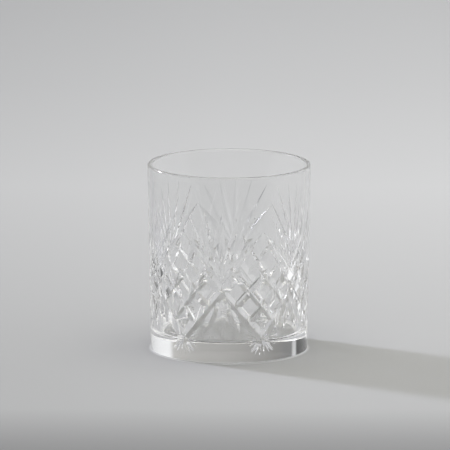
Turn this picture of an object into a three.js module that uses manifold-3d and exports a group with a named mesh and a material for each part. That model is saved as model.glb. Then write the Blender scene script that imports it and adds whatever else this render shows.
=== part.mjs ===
// A water tumbler of clear cut glass: a solid foot ground flat, a tapered bowl whose outside carries
// a mitre-cut pattern of fans over a trellis of diamonds, and a plain rounded lip.
// Millimetres, +Z up. It stands on z = 0 with its axis on Z. Turns are in degrees from the
// front (-Y) towards +X, and a place on the wall is given as a turn and a height.

import * as THREE from 'three';
import { mergeVertices } from 'three/addons/utils/BufferGeometryUtils.js';
import Module from 'manifold-3d';

const wasm = await Module();
wasm.setup();

// The blank: the glass before it is cut
const HEIGHT = 92;
const RIM_DIAMETER = 80;
const FOOT_DIAMETER = 76.8;
const LIP_HEIGHT = 10;
const LIP_WALL = 2.2;
const FLOOR_WALL = 4.2;
const FOOT_BAND = 5;
const BOWL_FLOOR = 5.4;
const FLOOR_CORNER = 5;
const HEEL_RADIUS = 4;

// The trellis: long arms cross once in each repeat and again at the junctions between repeats,
// where they run out, and bands divide the large diamonds between them into small ones
const REPEATS = 6;
const DIAMONDS_PER_SIDE = 3;
const JUNCTION_RISE = 7;
const ARM_RISE = 23.6;
const ARM_WIDTH = 5.6;
const ARM_DEPTH = 1.05;
const ARM_RUN_OUT = 9;
const BAND_WIDTH = 3.4;
const BAND_DEPTH = 0.75;
const BAND_RUN_OUT = 4;

// The fans: tall lances stand above each crossing and broad leaves hang below it
const FAN_RISE = 5;
const FAN_LANCES = 7;
const FAN_SPREAD = 80;
const FAN_WIDTH = 3;
const FAN_DEPTH = 0.8;
const FAN_TAPER = 0.8;
const FAN_MARGIN = 3.5;
const OUTER_LANCE_LENGTH = 31.6;
const LEAVES = 3;
const LEAF_SPREAD = 56;
const LEAF_LENGTH = 24;
const LEAF_WIDTH = 7.2;
const LEAF_DEPTH = 0.9;
const LEAF_TAPER = 1.36;

// The stars: short rays between the arms at each junction
const STAR_RAYS = 8;
const RAY_LENGTH = 7.5;
const RAY_WIDTH = 1.8;
const RAY_DEPTH = 0.45;

// Fineness of the facets
const WALL_SIDES = 72;
const ARC_STEPS = 6;
const LANCE_STEPS = 6;
const BAR_STEP_TURN = 7.5;
const CUTTER_CLEARANCE = 0.4;
const MERGE_DISTANCE = 1e-4;

const lipBottom = HEIGHT - LIP_HEIGHT;
const floorHeight = FOOT_BAND + BOWL_FLOOR;
const repeatTurn = 360 / REPEATS;
const junctionHeight = FOOT_BAND + JUNCTION_RISE;
const crossHeight = junctionHeight + ARM_RISE;
const fanHeight = crossHeight + FAN_RISE;
const fanLength = lipBottom - FAN_MARGIN - fanHeight;

function outerRadius(height) {
  return THREE.MathUtils.lerp(FOOT_DIAMETER / 2, RIM_DIAMETER / 2, height / HEIGHT);
}

function innerRadius(height) {
  const floorRadius = outerRadius(floorHeight) - FLOOR_WALL;
  const rimRadius = RIM_DIAMETER / 2 - LIP_WALL;
  const rise = (height - floorHeight) / (HEIGHT - floorHeight);
  return THREE.MathUtils.lerp(floorRadius, rimRadius, rise);
}

// Turn in degrees that an arc of the wall takes up at a height
function turnOf(arcLength, height) {
  return THREE.MathUtils.radToDeg(arcLength / outerRadius(height));
}

function pointAt(turn, height, radius) {
  const angle = THREE.MathUtils.degToRad(turn);
  return [radius * Math.sin(angle), -radius * Math.cos(angle), height];
}

// Points of an arc in a profile plane, angles in degrees from the outward direction
function arc(radius, height, size, fromAngle, toAngle) {
  const points = [];
  for (let step = 0; step <= ARC_STEPS; step += 1) {
    const angle = THREE.MathUtils.degToRad(THREE.MathUtils.lerp(fromAngle, toAngle, step / ARC_STEPS));
    points.push(new THREE.Vector2(radius + size * Math.cos(angle), height + size * Math.sin(angle)));
  }
  return points;
}

// A turned solid from a profile that runs anticlockwise, kept as positions only, with shared
// corners merged and the triangles that collapse on the axis dropped
function turned(profile) {
  const lathe = new THREE.LatheGeometry(profile, WALL_SIDES);
  lathe.rotateX(Math.PI / 2);
  lathe.deleteAttribute('normal');
  lathe.deleteAttribute('uv');
  const merged = mergeVertices(lathe, MERGE_DISTANCE);
  const kept = [];
  for (let i = 0; i < merged.index.count; i += 3) {
    const [a, b, c] = [0, 1, 2].map((corner) => merged.index.getX(i + corner));
    if (a !== b && b !== c && c !== a) kept.push(a, b, c);
  }
  merged.setIndex(kept);
  return merged;
}

function toSolid(geometry) {
  const vertProperties = new Float32Array(geometry.attributes.position.array);
  const triVerts = new Uint32Array(geometry.index.array);
  return new wasm.Manifold(new wasm.Mesh({ numProp: 3, vertProperties, triVerts }));
}

function toGeometry(solid) {
  const mesh = solid.getMesh();
  const geometry = new THREE.BufferGeometry();
  geometry.setAttribute('position', new THREE.BufferAttribute(mesh.vertProperties, 3));
  geometry.setIndex(new THREE.BufferAttribute(mesh.triVerts, 1));
  geometry.computeVertexNormals();
  return geometry;
}

// The tool that leaves one mitre cut: a three-sided bar with its keel below the wall, through
// stations of turn, height and swell (its share of full size) on one line of the unrolled wall
function mitreCutter(stations, width, depth) {
  const first = stations[0];
  const last = stations[stations.length - 1];
  const rise = last.height - first.height;
  const meanRadius = outerRadius((first.height + last.height) / 2);
  const across = THREE.MathUtils.degToRad(last.turn - first.turn) * meanRadius;
  const length = Math.hypot(across, rise);
  const positions = [];
  for (const { turn, height, swell } of stations) {
    const radius = outerRadius(height);
    const keel = depth * swell;
    const halfWidth = (width / 2) * (keel + CUTTER_CLEARANCE) / depth;
    const sideTurn = turnOf((rise / length) * halfWidth, height);
    const sideRise = (-across / length) * halfWidth;
    positions.push(...pointAt(turn, height, radius - keel));
    positions.push(...pointAt(turn + sideTurn, height + sideRise, radius + CUTTER_CLEARANCE));
    positions.push(...pointAt(turn - sideTurn, height - sideRise, radius + CUTTER_CLEARANCE));
  }
  const index = [];
  const end = (stations.length - 1) * 3;
  for (let ring = 0; ring < end; ring += 3) {
    for (let side = 0; side < 3; side += 1) {
      const near = ring + side;
      const next = ring + (side + 1) % 3;
      index.push(near, near + 3, next, next, near + 3, next + 3);
    }
  }
  index.push(0, 1, 2, end, end + 2, end + 1);
  const geometry = new THREE.BufferGeometry();
  geometry.setAttribute('position', new THREE.Float32BufferAttribute(positions, 3));
  geometry.setIndex(index);
  return toSolid(geometry);
}

// A lance swells from its root and runs out at its tip, and is broadest near its root for a taper
// under 1 and near its tip for one over 1; its lean is from upright towards +X
function lanceCutter(root, lean, length, width, depth, taper) {
  const angle = THREE.MathUtils.degToRad(lean);
  const rise = length * Math.cos(angle);
  const turn = turnOf(length * Math.sin(angle), root.height + rise / 2);
  const stations = [];
  for (let step = 0; step <= LANCE_STEPS; step += 1) {
    const share = step / LANCE_STEPS;
    stations.push({
      turn: root.turn + turn * share,
      height: root.height + rise * share,
      swell: Math.sin(Math.PI * share ** taper),
    });
  }
  return mitreCutter(stations, width, depth);
}

// A bar keeps its depth between two places, and past them the wheel runs in and out
function barCutter(start, end, runIn, runOut, width, depth) {
  const turn = end.turn - start.turn;
  const rise = end.height - start.height;
  const middle = (start.height + end.height) / 2;
  const length = Math.hypot(THREE.MathUtils.degToRad(turn) * outerRadius(middle), rise);
  const along = (share, swell) => ({
    turn: start.turn + turn * share,
    height: start.height + rise * share,
    swell,
  });
  const steps = Math.ceil(Math.abs(turn) / BAR_STEP_TURN);
  const stations = [];
  if (runIn > 0) stations.push(along(-runIn / length, 0));
  for (let step = 0; step <= steps; step += 1) stations.push(along(step / steps, 1));
  if (runOut > 0) stations.push(along(1 + runOut / length, 0));
  return mitreCutter(stations, width, depth);
}

// The leans of a number of lances spread evenly to both sides of a middle one
function leansOf(count, spread, middle) {
  return Array.from({ length: count }, (_, lance) => middle + spread * (lance / (count - 1) - 0.5));
}

// The outermost lances are shorter, so that they meet those of the next fan
function fanCutters(centreTurn) {
  const root = { turn: centreTurn, height: fanHeight };
  return leansOf(FAN_LANCES, FAN_SPREAD, 0).map((lean, lance) => {
    const outermost = lance === 0 || lance === FAN_LANCES - 1;
    const length = outermost ? OUTER_LANCE_LENGTH : fanLength;
    return lanceCutter(root, lean, length, FAN_WIDTH, FAN_DEPTH, FAN_TAPER);
  });
}

function leafCutters(centreTurn) {
  const root = { turn: centreTurn, height: crossHeight };
  const leans = leansOf(LEAVES, LEAF_SPREAD, 180);
  return leans.map((lean) => lanceCutter(root, lean, LEAF_LENGTH, LEAF_WIDTH, LEAF_DEPTH, LEAF_TAPER));
}

function starCutters(junctionTurn) {
  const root = { turn: junctionTurn, height: junctionHeight };
  const pitch = 360 / STAR_RAYS;
  const leans = leansOf(STAR_RAYS, 360 - pitch, 0);
  return leans.map((lean) => lanceCutter(root, lean, RAY_LENGTH, RAY_WIDTH, RAY_DEPTH, LEAF_TAPER));
}

// The lines of one repeat's trellis that rise towards +X (hand 1) or towards -X (hand -1): the
// long arm through the crossing, and the bands beside it, which start on the other arm
function trellisCutters(centreTurn, hand) {
  const column = repeatTurn / 2 / DIAMONDS_PER_SIDE;
  const row = ARM_RISE / DIAMONDS_PER_SIDE;
  const spot = (across, up) => ({
    turn: centreTurn + hand * across * column,
    height: crossHeight + up * row,
  });
  const low = spot(-DIAMONDS_PER_SIDE, -DIAMONDS_PER_SIDE);
  const cutters = [barCutter(low, spot(1, 1), ARM_RUN_OUT, BAND_RUN_OUT, ARM_WIDTH, ARM_DEPTH)];
  for (let line = 1; line < DIAMONDS_PER_SIDE; line += 1) {
    const top = spot(2 * line + 1, 1);
    cutters.push(barCutter(spot(line, -line), top, 0, BAND_RUN_OUT, BAND_WIDTH, BAND_DEPTH));
  }
  return cutters;
}

function footGeometry() {
  const heel = arc(FOOT_DIAMETER / 2 - HEEL_RADIUS, HEEL_RADIUS, HEEL_RADIUS, -90, 0);
  const top = [new THREE.Vector2(outerRadius(FOOT_BAND), FOOT_BAND), new THREE.Vector2(0, FOOT_BAND)];
  return turned([new THREE.Vector2(0, 0), ...heel, ...top]);
}

function bowlBlank() {
  const cornerHeight = floorHeight + FLOOR_CORNER;
  const outside = [
    new THREE.Vector2(0, FOOT_BAND),
    new THREE.Vector2(outerRadius(FOOT_BAND), FOOT_BAND),
    new THREE.Vector2(outerRadius(lipBottom), lipBottom),
    new THREE.Vector2(innerRadius(lipBottom), lipBottom),
  ];
  const corner = arc(innerRadius(cornerHeight) - FLOOR_CORNER, cornerHeight, FLOOR_CORNER, 0, -90);
  return turned([...outside, ...corner, new THREE.Vector2(0, floorHeight)]);
}

function bowlGeometry() {
  const cutters = [];
  for (let repeat = 0; repeat < REPEATS; repeat += 1) {
    const turn = repeat * repeatTurn;
    cutters.push(...trellisCutters(turn, 1), ...trellisCutters(turn, -1));
    cutters.push(...fanCutters(turn), ...leafCutters(turn), ...starCutters(turn + repeatTurn / 2));
  }
  const wheelWork = cutters.reduce((joined, cutter) => joined.add(cutter));
  return toGeometry(toSolid(bowlBlank()).subtract(wheelWork));
}

function lipGeometry() {
  const edgeRadius = LIP_WALL / 2;
  const edge = arc(RIM_DIAMETER / 2 - edgeRadius, HEIGHT - edgeRadius, edgeRadius, 0, 180);
  const inside = new THREE.Vector2(innerRadius(lipBottom), lipBottom);
  const outside = new THREE.Vector2(outerRadius(lipBottom), lipBottom);
  return turned([inside, outside, ...edge, inside.clone()]);
}

function clearGlass() {
  return new THREE.MeshStandardMaterial({
    color: 0xf2f5f4,
    roughness: 0.02,
    metalness: 0,
    transparent: true,
    opacity: 0.35,
  });
}

function piece(name, geometry) {
  const mesh = new THREE.Mesh(geometry, clearGlass());
  mesh.name = name;
  return mesh;
}

const tumbler = new THREE.Group();
tumbler.add(piece('foot', footGeometry()));
tumbler.add(piece('bowl', bowlGeometry()));
tumbler.add(piece('lip', lipGeometry()));

export default tumbler;
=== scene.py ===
from math import atan2, ceil, cos, pi, radians, sin, sqrt

import bpy
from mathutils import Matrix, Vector


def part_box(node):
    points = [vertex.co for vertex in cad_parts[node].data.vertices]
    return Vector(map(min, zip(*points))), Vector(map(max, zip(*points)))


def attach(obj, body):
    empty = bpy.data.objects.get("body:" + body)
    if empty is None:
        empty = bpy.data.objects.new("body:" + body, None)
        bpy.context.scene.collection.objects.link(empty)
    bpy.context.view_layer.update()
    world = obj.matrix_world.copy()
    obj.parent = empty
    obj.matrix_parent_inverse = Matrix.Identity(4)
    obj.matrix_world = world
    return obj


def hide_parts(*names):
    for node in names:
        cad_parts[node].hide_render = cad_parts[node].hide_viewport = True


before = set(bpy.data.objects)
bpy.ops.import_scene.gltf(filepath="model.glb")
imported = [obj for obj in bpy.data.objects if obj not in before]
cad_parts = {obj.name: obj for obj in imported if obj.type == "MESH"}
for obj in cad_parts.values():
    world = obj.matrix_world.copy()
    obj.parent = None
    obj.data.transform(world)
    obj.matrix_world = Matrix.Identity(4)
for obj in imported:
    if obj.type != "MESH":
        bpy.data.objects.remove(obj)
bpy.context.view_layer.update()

MM = 0.001

# Sizes taken from the frame
FOOT_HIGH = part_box("foot")[1]
LIP_LOW, LIP_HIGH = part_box("lip")
HEIGHT = LIP_HIGH.z
RIM_RADIUS = LIP_HIGH.x
WALL_SLOPE = (RIM_RADIUS - FOOT_HIGH.x) / (HEIGHT - FOOT_HIGH.z)
FOOT_RADIUS = RIM_RADIUS - WALL_SLOPE * HEIGHT
TAPER = RIM_RADIUS / FOOT_RADIUS - 1

# The blank
LIP_WALL = 2.2 * MM
FLOOR_WALL = 4.2 * MM
FLOOR_HEIGHT = 9 * MM
FLOOR_CORNER = 2.5 * MM
HEEL_RADIUS = 0.5 * MM
HOLD = 0.1 * MM         # a ring this near a rounding keeps the straight stretch beside it straight
SPIN_STEPS = 288
WALL_ROWS = 40
ARC_STEPS = 14

# The cut pattern: each kind of cut has a half width on the wall and a depth
REPEATS = 6
REPEAT_TURN = 2 * pi / REPEATS
DIAMONDS_PER_SIDE = 3
JUNCTION_HEIGHT = 12 * MM
ARM_RISE = 23.6 * MM
CROSS_HEIGHT = JUNCTION_HEIGHT + ARM_RISE
ARM_CUT = (2.6 * MM, 1.35 * MM)
ARM_RUN_OUT = 9 * MM
BAND_CUT = (1.9 * MM, 1.1 * MM)
BAND_RUN_OUT = 4 * MM
FAN_LANCES = 7
FAN_RISE = 5 * MM
FAN_MARGIN = 3.5 * MM
FAN_HEIGHT = CROSS_HEIGHT + FAN_RISE
FAN_LENGTH = LIP_LOW.z - FAN_MARGIN - FAN_HEIGHT
OUTER_LENGTH = 31.6 * MM
FAN_SPREAD = radians(80)
FAN_CUT = (1.5 * MM, 0.65 * MM)
LEAVES = 3
LEAF_SPREAD = radians(46)
LEAF_LENGTH = 22 * MM
LEAF_CUT = (2.4 * MM, 1.2 * MM)
STAR_RAYS = 20
RAY_LENGTH = 9 * MM
RAY_CUT = (0.45 * MM, 0.35 * MM)

# A taper under 1 puts the widest place of a lance nearer its root, one over 1 nearer its tip
FAN_TAPER = 0.8
LEAF_TAPER = 1.36

RING_STEP = 1.6 * MM
MERGE = 0.002 * MM
SHARP_ANGLE = radians(14)

# The view
VIEW_TURN = radians(5.2)
VIEW_RISE = radians(11.2)
VIEW_DISTANCE = 3.0
AIM_HEIGHT = 61.1 * MM
AIM_SIDE = -2 * MM
PICTURE_SIDE = 450
RIM_PIXELS = 163.7
SENSOR = 36

# Tints
GREY = (1, 1, 1)
WARM = (1, 0.99, 0.955)
WHITE = (0.98, 0.99, 1)
CLEAR = (0.998, 1, 0.999)

# The glass
GLASS_INDEX = 1.52
GLASS_TINT = [(0.35, 0.997, CLEAR), (0.65, 1, GREY)]
SKIN_STRETCH = (1, 1, 0.25)
SKIN_SCALE = 90
SKIN_DEPTH = 0.03 * MM
LIGHT_BOUNCES = 40

# The paper: its ramps of painted light and shade go away from the viewer, to the viewer's right, and out from
# the axis of the glass
PAPER_SIDE = 6
PAPER_DROP = 0.2 * MM
PAPER_ROUGHNESS = 0.9
PAPER_SHINE = 0.1
DEPTH_SPAN = (-0.3, 1.2)
# Painted light and shade with depth: the paper is palest a little behind the glass and darker towards the
# viewer and far away, as if the light fell off.
DEPTH_PAINTED_SHADING = [
    (0, 0.14, GREY), (0.03, 0.19, GREY), (0.067, 0.27, GREY), (0.11, 0.39, GREY),
    (0.2, 0.41, GREY), (0.48, 0.48, GREY), (0.7, 0.42, GREY), (1, 0.355, GREY),
]
SIDE_SPAN = (-0.3, 0.3)
# Painted shade to the left and a little painted light to the right, as if the light fell off across the paper.
SIDE_PAINTED_SHADING = [(0, 0.78, GREY), (0.5, 1, GREY), (0.7, 1.05, GREY)]
# A painted pool of light on the paper under the foot of the glass, with a brighter painted ring just round it,
# standing in for light through the glass.
FOOT_PAINTED_LIGHT_SPAN = (36 * MM, 60 * MM)
FOOT_PAINTED_LIGHT = [(0, 1.5, GREY), (0.05, 1.5, GREY), (0.083, 1.8, GREY), (0.157, 1.04, GREY), (1, 1, GREY)]

# The lamp
LAMP_PLACE = (-5.22, 2.74, 2.85)
LAMP_AIM = (0, 0, 40 * MM)
LAMP_SIZE = (0.6, 0.4)
LAMP_POWER = 300
DAYLIGHT = (0.83, 0.85, 1)

# The room: its ramps go round from the left (0) past the viewer (0.25), the right (0.5) and the back (0.75)
# to the left again (1), and its spans go up from the horizon (0) to the zenith (1)
ROOM_WALLS = [
    (0, 0.06, GREY), (0.06, 0.3, GREY), (0.11, 0.6, GREY), (0.25, 0.9, GREY), (0.4, 0.9, WHITE),
    (0.46, 0.95, WHITE), (0.655, 0.95, WHITE), (0.668, 0.5, WARM), (0.69, 0.45, WARM), (0.72, 0.41, WARM),
    (0.75, 0.39, WARM), (0.787, 0.34, WARM), (0.84, 0.25, WARM), (0.863, 0.21, GREY), (0.884, 0.2, GREY),
    (0.888, 0.6, WHITE), (0.9, 0.6, WHITE), (0.904, 0.06, GREY), (1, 0.06, GREY),
]
FAR_TABLE = [
    (0, 0.5, GREY), (0.25, 0.6, GREY), (0.4, 1.3, WHITE), (0.66, 1.3, WHITE),
    (0.7, 0.5, GREY), (0.8, 0.5, GREY), (0.86, 0.9, WHITE), (1, 0.9, WHITE),
]
TABLE_SPAN = (0.12, 0.05)
PANES = [(0.86, 0, GREY), (0.9, 1, GREY)]
PANE_SILL = (0.27, 0.3)
PANE_HEAD = (0.55, 0.5)
PANE_LIGHT = (3.5, 3.5, 3.55)
CEILING_SPAN = (0.82, 0.97)
CEILING = (2.45, 2.43, 2.22)


def deselect_all():
    if bpy.context.object and bpy.context.object.mode != "OBJECT":
        bpy.ops.object.mode_set(mode="OBJECT")
    bpy.ops.object.select_all(action="DESELECT")


def make_active(piece):
    deselect_all()
    piece.select_set(True)
    bpy.context.view_layer.objects.active = piece


def apply_modifier(piece, kind, **settings):
    make_active(piece)
    modifier = piece.modifiers.new(kind.lower(), kind)
    for name, value in settings.items():
        setattr(modifier, name, value)
    bpy.ops.object.modifier_apply(modifier=modifier.name)


def settle(piece, location=(0, 0, 0), rotation=(0, 0, 0)):
    """Moves and turns a piece, then leaves its place in its mesh."""
    make_active(piece)
    piece.location = location
    piece.rotation_euler = rotation
    bpy.ops.object.transform_apply(location=True, rotation=True, scale=True)


def twin(piece):
    copy = piece.copy()
    copy.data = piece.data.copy()
    bpy.context.scene.collection.objects.link(copy)
    return copy


def discard(piece):
    mesh = piece.data
    bpy.data.objects.remove(piece)
    bpy.data.meshes.remove(mesh)


def combine(piece, tool, operation):
    """Joins a tool to a piece, or cuts it out, and uses the tool up."""
    bpy.context.view_layer.update()
    apply_modifier(piece, "BOOLEAN", operation=operation, solver="MANIFOLD", object=tool)
    discard(tool)


def select_corners(piece, wanted):
    bpy.ops.mesh.select_all(action="DESELECT")
    bpy.ops.object.mode_set(mode="OBJECT")
    for corner in piece.data.vertices:
        corner.select = wanted(corner.co)
    bpy.ops.object.mode_set(mode="EDIT")


def select_edges(piece, wanted):
    bpy.ops.mesh.select_all(action="DESELECT")
    bpy.ops.object.mode_set(mode="OBJECT")
    corners = piece.data.vertices
    for edge in piece.data.edges:
        a, b = edge.vertices
        edge.select = wanted(corners[a].co, corners[b].co)
    bpy.ops.object.mode_set(mode="EDIT")


# The blank, turned straight: the taper comes after the cutting

def widening(height):
    """How much wider the tapered glass is at a height than at its foot."""
    return 1 + TAPER * height / HEIGHT


def arc(radius, height, size, start, end):
    points = []
    for step in range(ARC_STEPS + 1):
        angle = radians(start + (end - start) * step / ARC_STEPS)
        points.append((radius + size * cos(angle), height + size * sin(angle)))
    return points


def rows(start, end):
    """Points on a straight stretch of the profile, with one close to each end to hold it straight."""
    start, end = Vector(start), Vector(end)
    hold = HOLD / (end - start).length
    shares = [hold] + [row / WALL_ROWS for row in range(1, WALL_ROWS)] + [1 - hold]
    return [tuple(start.lerp(end, share)) for share in shares]


def blank_profile():
    """Points of radius and height, from the middle of the bottom round to the middle of the inside floor."""
    heel = arc(FOOT_RADIUS - HEEL_RADIUS, HEEL_RADIUS, HEEL_RADIUS, -90, 0)
    edge = LIP_WALL / 2
    edge_height = HEIGHT - edge
    lip_edge = arc(FOOT_RADIUS - edge, edge_height, edge, 0, 180)
    floor_radius = FOOT_RADIUS - FLOOR_WALL / widening(FLOOR_HEIGHT)
    corner = arc(floor_radius - FLOOR_CORNER, FLOOR_HEIGHT + FLOOR_CORNER, FLOOR_CORNER, 0, -90)
    outside = rows((FOOT_RADIUS, HEEL_RADIUS), (FOOT_RADIUS, edge_height))
    inside = rows(lip_edge[-1], corner[0])
    bottom = [(0, 0), (heel[0][0] - HOLD, 0)]
    inside_floor = [(corner[-1][0] - HOLD, FLOOR_HEIGHT), (0, FLOOR_HEIGHT)]
    return bottom + heel + outside + lip_edge + inside + corner + inside_floor


def turned_blank():
    """One corner, drawn out along the profile and spun round the axis."""
    profile = [Vector((radius, 0, height)) for radius, height in blank_profile()]
    deselect_all()
    bpy.ops.mesh.primitive_plane_add(size=MM)
    bpy.ops.object.mode_set(mode="EDIT")
    bpy.ops.mesh.select_mode(type="VERT")
    bpy.ops.mesh.select_all(action="SELECT")
    bpy.ops.mesh.merge(type="CENTER")
    bpy.ops.transform.translate(value=profile[0])
    for here, there in zip(profile, profile[1:]):
        bpy.ops.mesh.extrude_region_move(TRANSFORM_OT_translate={"value": there - here})
    bpy.ops.mesh.select_all(action="SELECT")
    bpy.ops.mesh.spin(steps=SPIN_STEPS, angle=2 * pi, center=(0, 0, 0), axis=(0, 0, 1))
    bpy.ops.mesh.select_all(action="SELECT")
    bpy.ops.mesh.remove_doubles(threshold=MERGE)
    bpy.ops.mesh.normals_make_consistent(inside=False)
    bpy.ops.object.mode_set(mode="OBJECT")
    blank = bpy.context.object
    blank.name = "tumbler"
    return blank


# The cutting tools, modelled flat: x runs round the wall, z up it, and +y into the glass

def mitre_tool(length, cut, swell):
    """A three-sided bar along z, its keel towards +y, each ring scaled by swell(share)."""
    half_width, depth = cut
    deselect_all()
    bpy.ops.mesh.primitive_cylinder_add(vertices=3, radius=depth, depth=length)
    tool = bpy.context.object
    tool.scale = (sqrt(3) * half_width / depth, 1, 1)
    bpy.ops.object.transform_apply(location=True, rotation=True, scale=True)
    rings = ceil(length / RING_STEP)
    near = length / rings / 4
    bpy.ops.object.mode_set(mode="EDIT")
    bpy.ops.mesh.select_mode(type="EDGE")
    select_edges(tool, lambda a, b: abs(a.z - b.z) > length / 2)
    bpy.ops.mesh.subdivide(number_cuts=rings - 1)
    bpy.ops.mesh.select_mode(type="VERT")
    for ring in range(rings + 1):
        height = length * (ring / rings - 0.5)
        scale = swell(ring / rings)
        select_corners(tool, lambda corner: abs(corner.z - height) < near)
        bpy.ops.transform.resize(value=(scale, scale, 1), center_override=(0, 0, height))
    bpy.ops.mesh.select_all(action="SELECT")
    bpy.ops.mesh.remove_doubles(threshold=MERGE)
    bpy.ops.object.mode_set(mode="OBJECT")
    return tool


def wrapped(tool, around, height, lean):
    """A flat tool, laid at its place and bent round the wall."""
    settle(tool, (around, 0, height), (0, lean, 0))
    turn = tool.dimensions.x / FOOT_RADIUS
    apply_modifier(tool, "SIMPLE_DEFORM", deform_method="BEND", deform_axis="Z", angle=turn)
    settle(tool, (0, -FOOT_RADIUS, 0))
    return tool


def lance_tool(height, length, cut, taper, lean, side=0):
    """A leaf-shaped cut from a point on the wall, leaning to one side."""
    lance = mitre_tool(length, cut, lambda share: sin(pi * share ** taper))
    return wrapped(lance, side + length / 2 * sin(lean), height + length / 2 * cos(lean), lean)


def bar_tool(start, end, cut, run_in, run_out):
    """A straight cut between two points (round the wall, up it), run out to nothing beyond its ends."""
    stretch = Vector(end) - Vector(start)
    length = stretch.length + run_in + run_out

    def swell(share):
        from_start = share * length
        from_end = length - from_start
        return min(1, from_start / run_in if run_in else 1, from_end / run_out if run_out else 1)

    bar = mitre_tool(length, cut, swell)
    middle = Vector(start) + stretch * ((length / 2 - run_in) / stretch.length)
    return wrapped(bar, middle.x, middle.y, atan2(stretch.x, stretch.y))


def trellis_tools():
    """The two long arms through the crossing, and the bands beside each that divide the large diamonds."""
    step = FOOT_RADIUS * REPEAT_TURN / 2 / DIAMONDS_PER_SIDE
    rise = ARM_RISE / DIAMONDS_PER_SIDE

    def spot(column, row):
        return (column * step, CROSS_HEIGHT + row * rise)

    tools = []
    for hand in (1, -1):
        junction = spot(-DIAMONDS_PER_SIDE * hand, -DIAMONDS_PER_SIDE)
        tools.append(bar_tool(junction, spot(hand, 1), ARM_CUT, ARM_RUN_OUT, BAND_RUN_OUT))
        for band in range(1, DIAMONDS_PER_SIDE):
            start, end = spot(band * hand, -band), spot((2 * band + 1) * hand, 1)
            tools.append(bar_tool(start, end, BAND_CUT, 0, BAND_RUN_OUT))
    return tools


def fan_tools():
    """Tall lances spread above the crossing, the two outer ones shorter."""
    tools = []
    for number in range(FAN_LANCES):
        length = OUTER_LENGTH if number in (0, FAN_LANCES - 1) else FAN_LENGTH
        lean = FAN_SPREAD * (number / (FAN_LANCES - 1) - 0.5)
        tools.append(lance_tool(FAN_HEIGHT, length, FAN_CUT, FAN_TAPER, lean))
    return tools


def leaf_tools():
    """Broad leaves that hang below the crossing."""
    leans = [pi + LEAF_SPREAD * (number / (LEAVES - 1) - 0.5) for number in range(LEAVES)]
    return [lance_tool(CROSS_HEIGHT, LEAF_LENGTH, LEAF_CUT, LEAF_TAPER, lean) for lean in leans]


def star_tools():
    """Short fine rays round a junction, where the long arms of two repeats meet above the base."""
    side = FOOT_RADIUS * REPEAT_TURN / 2
    leans = [2 * pi * (number + 0.5) / STAR_RAYS for number in range(STAR_RAYS)]
    return [lance_tool(JUNCTION_HEIGHT, RAY_LENGTH, RAY_CUT, LEAF_TAPER, lean, side) for lean in leans]


def wheel_work():
    """All the tools of one repeat, joined into one."""
    work, *others = trellis_tools() + fan_tools() + leaf_tools() + star_tools()
    for tool in others:
        combine(work, tool, "UNION")
    return work


def cut_tumbler():
    tumbler = turned_blank()
    work = wheel_work()
    for repeat in range(REPEATS):
        tool = twin(work)
        settle(tool, rotation=(0, 0, repeat * REPEAT_TURN))
        combine(tumbler, tool, "DIFFERENCE")
    discard(work)
    apply_modifier(tumbler, "SIMPLE_DEFORM", deform_method="TAPER", deform_axis="Z", factor=TAPER)
    make_active(tumbler)
    bpy.ops.object.shade_smooth_by_angle(angle=SHARP_ANGLE)
    return tumbler


# Shader helpers: each adds a node and gives back its output

def ramp(tree, value, stops):
    """The colour at a value, from stops of place, level and tint."""
    shade = tree.nodes.new("ShaderNodeValToRGB")
    points = shade.color_ramp.elements
    while len(points) < len(stops):
        points.new(0.5)
    for point, (place, level, tint) in zip(points, stops):
        point.position = place
        point.color = (*(level * part for part in tint), 1)
    tree.links.new(value, shade.inputs["Fac"])
    return shade.outputs["Color"]


def part_way(tree, value, span):
    """How far a value is from the first end of a span to the second, from 0 to 1."""
    part = tree.nodes.new("ShaderNodeMapRange")
    part.inputs["From Min"].default_value, part.inputs["From Max"].default_value = span
    tree.links.new(value, part.inputs["Value"])
    return part.outputs["Result"]


def product(tree, first, second):
    times = tree.nodes.new("ShaderNodeVectorMath")
    times.operation = "MULTIPLY"
    tree.links.new(first, times.inputs[0])
    tree.links.new(second, times.inputs[1])
    return times.outputs["Vector"]


def distance_along(tree, place, direction):
    dot = tree.nodes.new("ShaderNodeVectorMath")
    dot.operation = "DOT_PRODUCT"
    dot.inputs[1].default_value = direction
    tree.links.new(place, dot.inputs[0])
    return dot.outputs["Value"]


def distance_out(tree, place):
    length = tree.nodes.new("ShaderNodeVectorMath")
    length.operation = "LENGTH"
    tree.links.new(place, length.inputs[0])
    return length.outputs["Value"]


def plain(tree, colour):
    fixed = tree.nodes.new("ShaderNodeRGB")
    fixed.outputs["Color"].default_value = (*colour, 1)
    return fixed.outputs["Color"]


def blend(tree, part, under, over):
    """One colour going over into another by a part from 0 to 1."""
    mixed = tree.nodes.new("ShaderNodeMix")
    mixed.data_type = "RGBA"
    tree.links.new(part, mixed.inputs["Factor"])
    tree.links.new(under, mixed.inputs["A"])
    tree.links.new(over, mixed.inputs["B"])
    return mixed.outputs["Result"]


# Finishes

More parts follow.
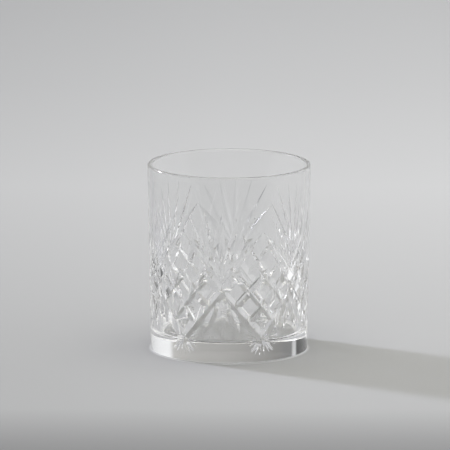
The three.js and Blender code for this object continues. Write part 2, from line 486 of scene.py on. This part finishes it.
def clear_glass():
    """Colourless glass with a faintly uneven tint and a faintly wavy fire-polished skin."""
    material = bpy.data.materials.new("clear_glass")
    material.use_nodes = True
    tree = material.node_tree
    shader = tree.nodes["Principled BSDF"]
    shader.inputs["Roughness"].default_value = 0
    shader.inputs["IOR"].default_value = GLASS_INDEX
    shader.inputs["Transmission Weight"].default_value = 1
    stretched = tree.nodes.new("ShaderNodeMapping")
    stretched.inputs["Scale"].default_value = SKIN_STRETCH
    waves = tree.nodes.new("ShaderNodeTexNoise")
    waves.inputs["Scale"].default_value = SKIN_SCALE
    skin = tree.nodes.new("ShaderNodeBump")
    skin.inputs["Distance"].default_value = SKIN_DEPTH
    tree.links.new(tree.nodes.new("ShaderNodeTexCoord").outputs["Object"], stretched.inputs["Vector"])
    tree.links.new(stretched.outputs["Vector"], waves.inputs["Vector"])
    tree.links.new(ramp(tree, waves.outputs["Fac"], GLASS_TINT), shader.inputs["Base Color"])
    tree.links.new(waves.outputs["Fac"], skin.inputs["Height"])
    tree.links.new(skin.outputs["Normal"], shader.inputs["Normal"])
    return material


def pale_paper():
    """Matt paper with painted light and shade: palest behind the glass, with a painted pool of light round its
    foot, and painted shade to the left and near the viewer.
    """
    material = bpy.data.materials.new("pale_paper")
    material.use_nodes = True
    tree = material.node_tree
    shader = tree.nodes["Principled BSDF"]
    shader.inputs["Roughness"].default_value = PAPER_ROUGHNESS
    shader.inputs["Specular IOR Level"].default_value = PAPER_SHINE
    place = tree.nodes.new("ShaderNodeTexCoord").outputs["Object"]
    away = distance_along(tree, place, (-sin(VIEW_TURN), cos(VIEW_TURN), 0))
    aside = distance_along(tree, place, (cos(VIEW_TURN), sin(VIEW_TURN), 0))
    out = distance_out(tree, place)
    # The paper's colour is painted light and shade: the product of the depth, side and foot ramps.
    depth_painted_shading = ramp(tree, part_way(tree, away, DEPTH_SPAN), DEPTH_PAINTED_SHADING)
    side_painted_shading = ramp(tree, part_way(tree, aside, SIDE_SPAN), SIDE_PAINTED_SHADING)
    foot_painted_light = ramp(tree, part_way(tree, out, FOOT_PAINTED_LIGHT_SPAN), FOOT_PAINTED_LIGHT)
    shade = product(tree, product(tree, depth_painted_shading, side_painted_shading), foot_painted_light)
    tree.links.new(shade, shader.inputs["Base Color"])
    return material


# Stage, light and camera

def paper_floor():
    deselect_all()
    bpy.ops.mesh.primitive_plane_add(size=PAPER_SIDE)
    stage = bpy.context.object
    stage.name = "floor"
    settle(stage, (0, 0, -PAPER_DROP))
    stage.data.materials.append(pale_paper())


def window_lamp():
    """Daylight from the left and behind."""
    lamp_data = bpy.data.lights.new("window", "AREA")
    lamp_data.shape = "RECTANGLE"
    lamp_data.size, lamp_data.size_y = LAMP_SIZE
    lamp_data.energy = LAMP_POWER
    lamp_data.color = DAYLIGHT
    lamp = bpy.data.objects.new("window", lamp_data)
    bpy.context.scene.collection.objects.link(lamp)
    lamp.location = LAMP_PLACE
    lamp.rotation_euler = (Vector(LAMP_AIM) - Vector(LAMP_PLACE)).to_track_quat("-Z", "Y").to_euler()


def studio_room():
    """A white wall to the right, a dim one to the left with window panes, a pale ceiling, and the far table."""
    world = bpy.data.worlds.new("studio")
    bpy.context.scene.world = world
    world.use_nodes = True
    tree = world.node_tree
    direction = tree.nodes.new("ShaderNodeTexCoord").outputs["Generated"]
    turn = tree.nodes.new("ShaderNodeTexGradient")
    turn.gradient_type = "RADIAL"
    tree.links.new(direction, turn.inputs["Vector"])
    around = turn.outputs["Fac"]
    height = distance_along(tree, direction, (0, 0, 1))
    walls = ramp(tree, around, ROOM_WALLS)
    room = blend(tree, part_way(tree, height, TABLE_SPAN), walls, ramp(tree, around, FAR_TABLE))
    pane = product(tree, part_way(tree, height, PANE_SILL), part_way(tree, height, PANE_HEAD))
    pane = product(tree, pane, ramp(tree, around, PANES))
    room = blend(tree, pane, room, plain(tree, PANE_LIGHT))
    room = blend(tree, part_way(tree, height, CEILING_SPAN), room, plain(tree, CEILING))
    tree.links.new(room, tree.nodes["Background"].inputs["Color"])


def add_camera():
    camera_data = bpy.data.cameras.new("camera")
    camera = bpy.data.objects.new("camera", camera_data)
    bpy.context.scene.collection.objects.link(camera)
    back = Vector((sin(VIEW_TURN) * cos(VIEW_RISE), -cos(VIEW_TURN) * cos(VIEW_RISE), sin(VIEW_RISE)))
    right = Vector((cos(VIEW_TURN), sin(VIEW_TURN), 0))
    aim = Vector((0, 0, AIM_HEIGHT)) + right * AIM_SIDE
    camera.location = aim + back * VIEW_DISTANCE
    camera.rotation_euler = (-back).to_track_quat("-Z", "Y").to_euler()
    rim_distance = VIEW_DISTANCE - (HEIGHT - AIM_HEIGHT) * sin(VIEW_RISE)
    camera_data.sensor_width = SENSOR
    camera_data.lens = RIM_PIXELS / (2 * RIM_RADIUS) * SENSOR * rim_distance / PICTURE_SIDE
    bpy.context.scene.camera = camera


def picture_settings():
    """Plain colours, and enough bounces for light to find its way through the cuts."""
    scene = bpy.context.scene
    scene.view_settings.view_transform = "Standard"
    scene.cycles.max_bounces = LIGHT_BOUNCES
    scene.cycles.glossy_bounces = LIGHT_BOUNCES
    scene.cycles.transmission_bounces = LIGHT_BOUNCES


def main():
    add_camera()
    paper_floor()
    window_lamp()
    studio_room()
    tumbler = cut_tumbler()
    tumbler.data.materials.clear()
    tumbler.data.materials.append(clear_glass())
    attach(tumbler, "root")
    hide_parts("foot", "bowl", "lip")
    picture_settings()


main()
